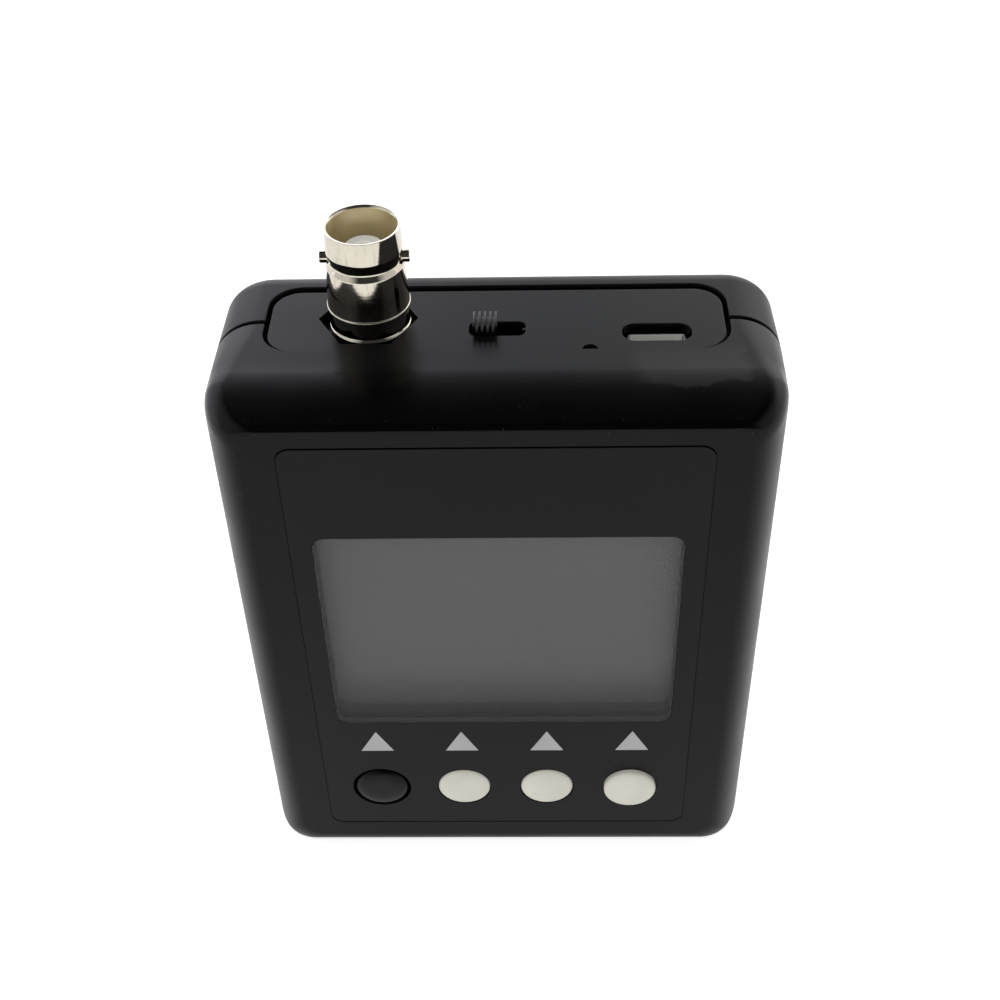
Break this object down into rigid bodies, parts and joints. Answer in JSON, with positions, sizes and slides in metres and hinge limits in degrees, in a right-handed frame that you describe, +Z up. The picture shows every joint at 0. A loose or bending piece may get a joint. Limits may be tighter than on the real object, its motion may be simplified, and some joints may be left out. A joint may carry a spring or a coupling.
{
  "type": "frequency counter",
  "caption": "Hand-held radio frequency counter: moulded two-part case, display window, push buttons, and an end panel with antenna jack, slide switch and charging socket.",
  "frame": {"origin": "middle of the lower end of the case, on which it stands, at the middle of the case's width and depth", "axes": "+Z up, from the lower end to the end panel with the antenna jack; -Y out of the display and the buttons; +X to the right seen from the front"},
  "size_m": [0.072, 0.0333, 0.0971],
  "materials": {
    "case_plastic": "fine satin texture, moulded black",
    "panel_plastic": "fine matte texture, moulded black",
    "label_film": "satin black film",
    "clear_plastic": "clear polished sheet",
    "cap_black": "satin",
    "cap_white": "satin off-white",
    "switch_black": "matte moulded black",
    "nickel_plate": "bright nickel plate",
    "steel": "zinc plate",
    "tin_plate": "tin plate",
    "contact_gold": "gold plate",
    "white_plastic": "smooth white",
    "board_laminate": "green solder mask",
    "chip_plastic": "moulded black",
    "display_glass": "unlit grey display",
    "film_amber": "amber film",
    "battery_wrap": "blue wrapped foil pouch",
    "foam": "closed-cell foam",
    "lead_red": "red insulation",
    "lead_black": "black insulation",
    "lamp_resin": "cast resin"
  },
  "bodies": {
    "case": {"front_shell": "case_plastic", "back_shell": "case_plastic", "end_panel": "panel_plastic", "front_label": "label_film", "display_window": "clear_plastic", "display_glass": "display_glass", "display_backlight": "white_plastic", "display_bezel": "steel", "display_holder": "case_plastic", "display_ribbon": "film_amber", "ribbon_socket": "white_plastic", "main_board": "board_laminate", "case_screw_1": "steel", "case_screw_2": "steel", "case_screw_3": "steel", "case_screw_4": "steel", "board_screw_1": "steel", "board_screw_2": "steel", "board_screw_3": "steel", "board_screw_4": "steel", "button_switch_1": "switch_black", "button_switch_2": "switch_black", "button_switch_3": "switch_black", "button_switch_4": "switch_black", "power_switch_body": "steel", "usb_shell": "tin_plate", "usb_tongue": "chip_plastic", "antenna_jack_body": "nickel_plate", "antenna_jack_insulator": "white_plastic", "antenna_jack_contact": "contact_gold", "antenna_jack_washer": "tin_plate", "antenna_jack_ground_tag": "tin_plate", "antenna_jack_nut": "nickel_plate", "shield_can": "tin_plate", "counter_chip": "chip_plastic", "processor_chip": "chip_plastic", "reference_oscillator": "tin_plate", "charger_chip": "chip_plastic", "charger_inductor": "foam", "charge_lamp": "lamp_resin", "filter_capacitor_1": "film_amber", "filter_capacitor_2": "film_amber", "battery": "battery_wrap", "battery_pad": "foam", "battery_plug": "white_plastic", "battery_socket": "white_plastic", "battery_lead_red": "lead_red", "battery_lead_black": "lead_black"},
    "button_1": {"button_cap_1": "cap_black", "button_plunger_1": "switch_black"},
    "button_2": {"button_cap_2": "cap_white", "button_plunger_2": "switch_black"},
    "button_3": {"button_cap_3": "cap_white", "button_plunger_3": "switch_black"},
    "button_4": {"button_cap_4": "cap_white", "button_plunger_4": "switch_black"},
    "power_knob": {"power_switch_knob": "switch_black"}
  },
  "joints": [
    {"name": "button_1_press", "type": "slide", "parent": "case", "child": "button_1", "axis": [0, 1, 0], "range_m": [0, 0.0003], "stiffness_N_per_m": 800, "springref_m": -0.001},
    {"name": "button_2_press", "type": "slide", "parent": "case", "child": "button_2", "axis": [0, 1, 0], "range_m": [0, 0.0003], "stiffness_N_per_m": 800, "springref_m": -0.001},
    {"name": "button_3_press", "type": "slide", "parent": "case", "child": "button_3", "axis": [0, 1, 0], "range_m": [0, 0.0003], "stiffness_N_per_m": 800, "springref_m": -0.001},
    {"name": "button_4_press", "type": "slide", "parent": "case", "child": "button_4", "axis": [0, 1, 0], "range_m": [0, 0.0003], "stiffness_N_per_m": 800, "springref_m": -0.001},
    {"name": "power_knob_slide", "type": "slide", "parent": "case", "child": "power_knob", "axis": [1, 0, 0], "range_m": [0, 0.003]}
  ]
}
